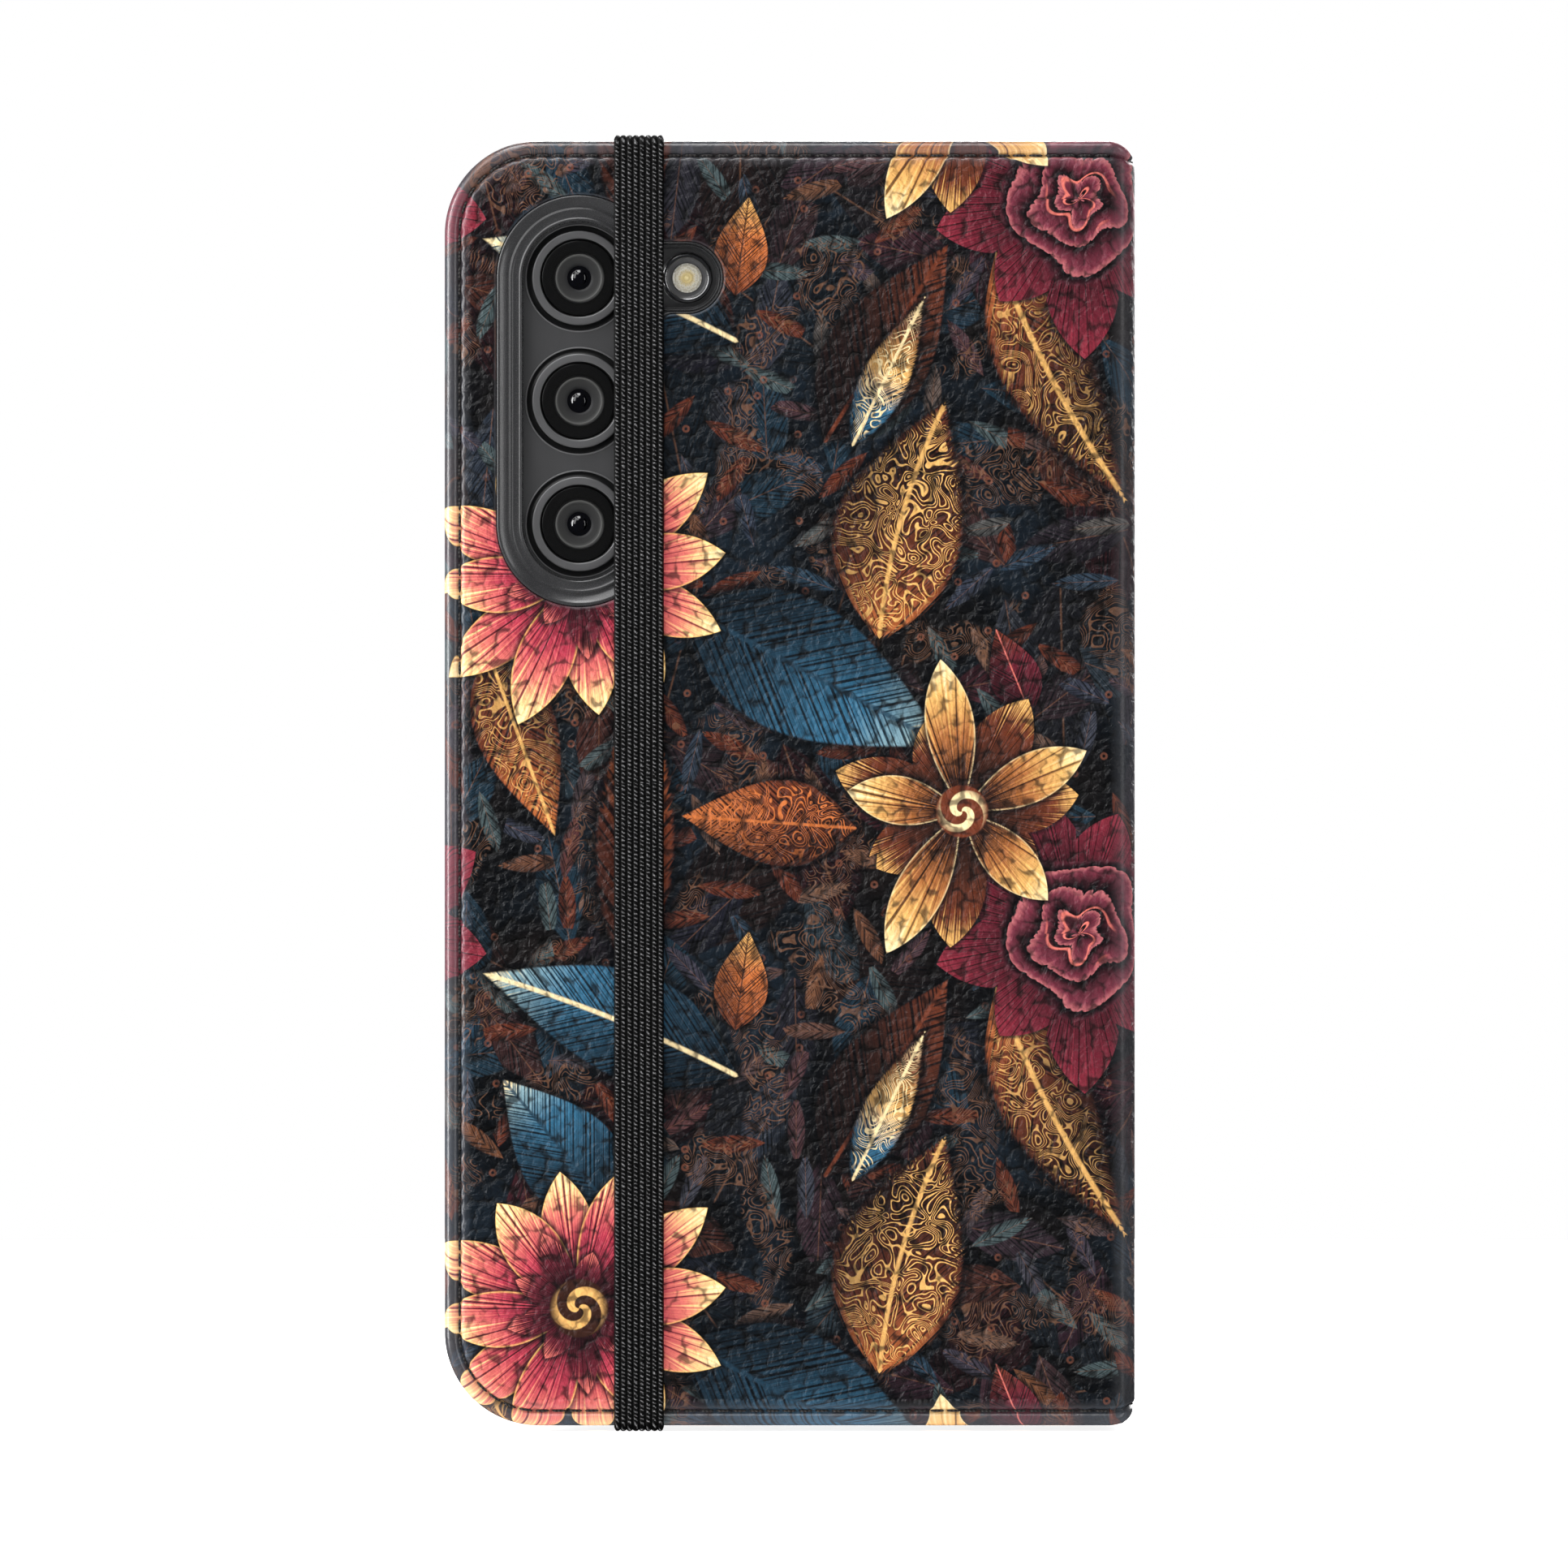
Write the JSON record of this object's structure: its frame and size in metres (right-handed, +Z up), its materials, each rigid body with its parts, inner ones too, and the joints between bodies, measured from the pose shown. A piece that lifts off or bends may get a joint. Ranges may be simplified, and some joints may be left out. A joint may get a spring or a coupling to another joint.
{
  "type": "folio phone case",
  "caption": "Book-style phone cover with a snap-in tray, card and note pockets, a camera window and an elastic strap.",
  "frame": {"origin": "under the middle of the closed case, level with the strap's lowest point", "axes": "+X towards the spine, +Z up the case, -Y out of the back panel where the camera window is"},
  "size_m": [0.082, 0.0174, 0.1537],
  "materials": {
    "printed_leather": "pebbled, soft gloss, floral print",
    "pocket_leather": "fine grain, satin",
    "greyboard": "matte",
    "microfibre": "brushed nap",
    "thread": "twisted thread",
    "bezel_plastic": "satin moulded",
    "camera_plate_plastic": "fine satin",
    "grey_ring": "anodised dark grey",
    "bright_ring": "turned, bright bevel",
    "milky_lens": "milky diffuser",
    "dark_glass": "dark coated",
    "tray_plastic": "fine satin, soft",
    "tape": "adhesive sheet",
    "woven_elastic": "ribbed weave"
  },
  "bodies": {
    "back": {"back_leather": "printed_leather", "back_board": "greyboard", "back_lining": "microfibre", "back_stitching": "thread", "camera_bezel": "bezel_plastic", "camera_plate": "camera_plate_plastic", "flash_ring": "bright_ring", "flash_lens": "milky_lens", "phone_tray": "tray_plastic", "tray_tape": "tape", "lens_ring_upper": "grey_ring", "lens_ring_middle": "grey_ring", "lens_ring_lower": "grey_ring", "lens_cover_upper": "dark_glass", "lens_cover_middle": "dark_glass", "lens_cover_lower": "dark_glass"},
    "spine": {"spine_leather": "printed_leather", "spine_board": "greyboard", "spine_lining": "microfibre", "spine_stitching": "thread", "back_fold": "printed_leather", "back_fold_lining": "microfibre", "front_fold": "printed_leather", "front_fold_lining": "microfibre"},
    "front": {"front_leather": "printed_leather", "front_board": "greyboard", "front_lining": "microfibre", "front_stitching": "thread", "cash_pocket": "pocket_leather", "card_pocket_lower": "pocket_leather", "card_pocket_middle": "pocket_leather", "card_pocket_upper": "pocket_leather", "pocket_stitching": "thread"},
    "strap": {"elastic_strap": "woven_elastic"}
  },
  "joints": [
    {"name": "spine_fold", "type": "hinge", "parent": "back", "child": "spine", "pos_m": [0.04031, -0.00741, 0.07685], "axis": [0, 0, -1], "range_deg": [0, 178], "deforming": ["back_fold", "back_fold_lining"]},
    {"name": "cover_fold", "type": "hinge", "parent": "spine", "child": "front", "pos_m": [0.04031, 0.00805, 0.07685], "axis": [0, 0, -1], "range_deg": [0, 178], "deforming": ["front_fold", "front_fold_lining"]},
    {"name": "strap_pull", "type": "slide", "parent": "back", "child": "strap", "axis": [0, -1, 0], "range_m": [0, 0.01], "stiffness_N_per_m": 60, "deforming": ["elastic_strap"]}
  ]
}
